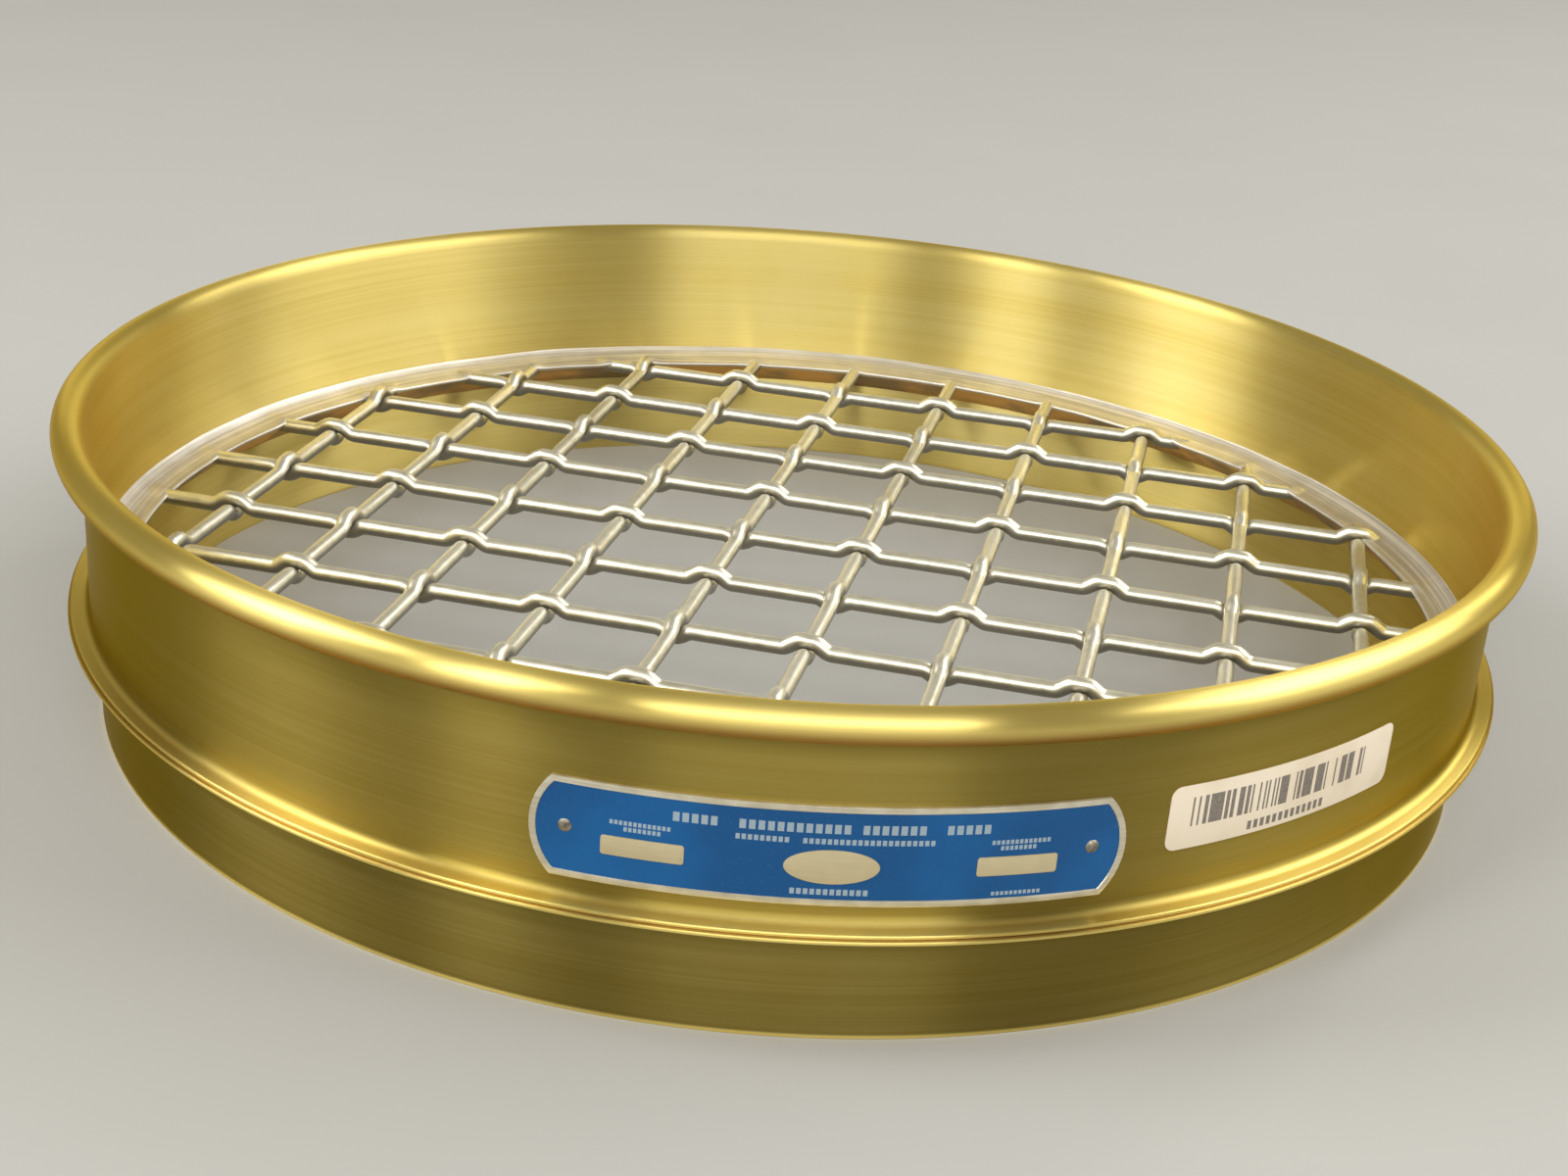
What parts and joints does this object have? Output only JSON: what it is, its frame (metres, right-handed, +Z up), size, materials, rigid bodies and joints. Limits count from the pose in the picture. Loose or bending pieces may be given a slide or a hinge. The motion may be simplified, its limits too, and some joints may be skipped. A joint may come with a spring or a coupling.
{
  "type": "test sieve",
  "caption": "Round brass test sieve with a rolled rim, a coarse woven wire cloth soldered across it, a nesting skirt and a riveted nameplate.",
  "frame": {"origin": "on the frame's axis, in the plane of the skirt's lower edge that the sieve stands on", "axes": "+Z up along the axis of the round frame, towards the rolled rim; the nameplate is on the -Y side and +X is to its right"},
  "size_m": [0.318, 0.318, 0.0652],
  "materials": {
    "brass": "satin spun brass",
    "wire": "bright drawn stainless steel",
    "solder": "matte tin solder",
    "plate": "blue field with a bare silver border",
    "pins": "bare",
    "label": "matte paper"
  },
  "bodies": {
    "root": {"upper_frame": "brass", "skirt": "brass", "solder_ring": "solder", "warp_wire_01": "wire", "warp_wire_02": "wire", "warp_wire_03": "wire", "warp_wire_04": "wire", "warp_wire_05": "wire", "warp_wire_06": "wire", "warp_wire_07": "wire", "warp_wire_08": "wire", "warp_wire_09": "wire", "warp_wire_10": "wire", "weft_wire_01": "wire", "weft_wire_02": "wire", "weft_wire_03": "wire", "weft_wire_04": "wire", "weft_wire_05": "wire", "weft_wire_06": "wire", "weft_wire_07": "wire", "weft_wire_08": "wire", "weft_wire_09": "wire", "weft_wire_10": "wire", "nameplate": "plate", "plate_pins": "pins", "paper_label": "label"}
  },
  "joints": []
}
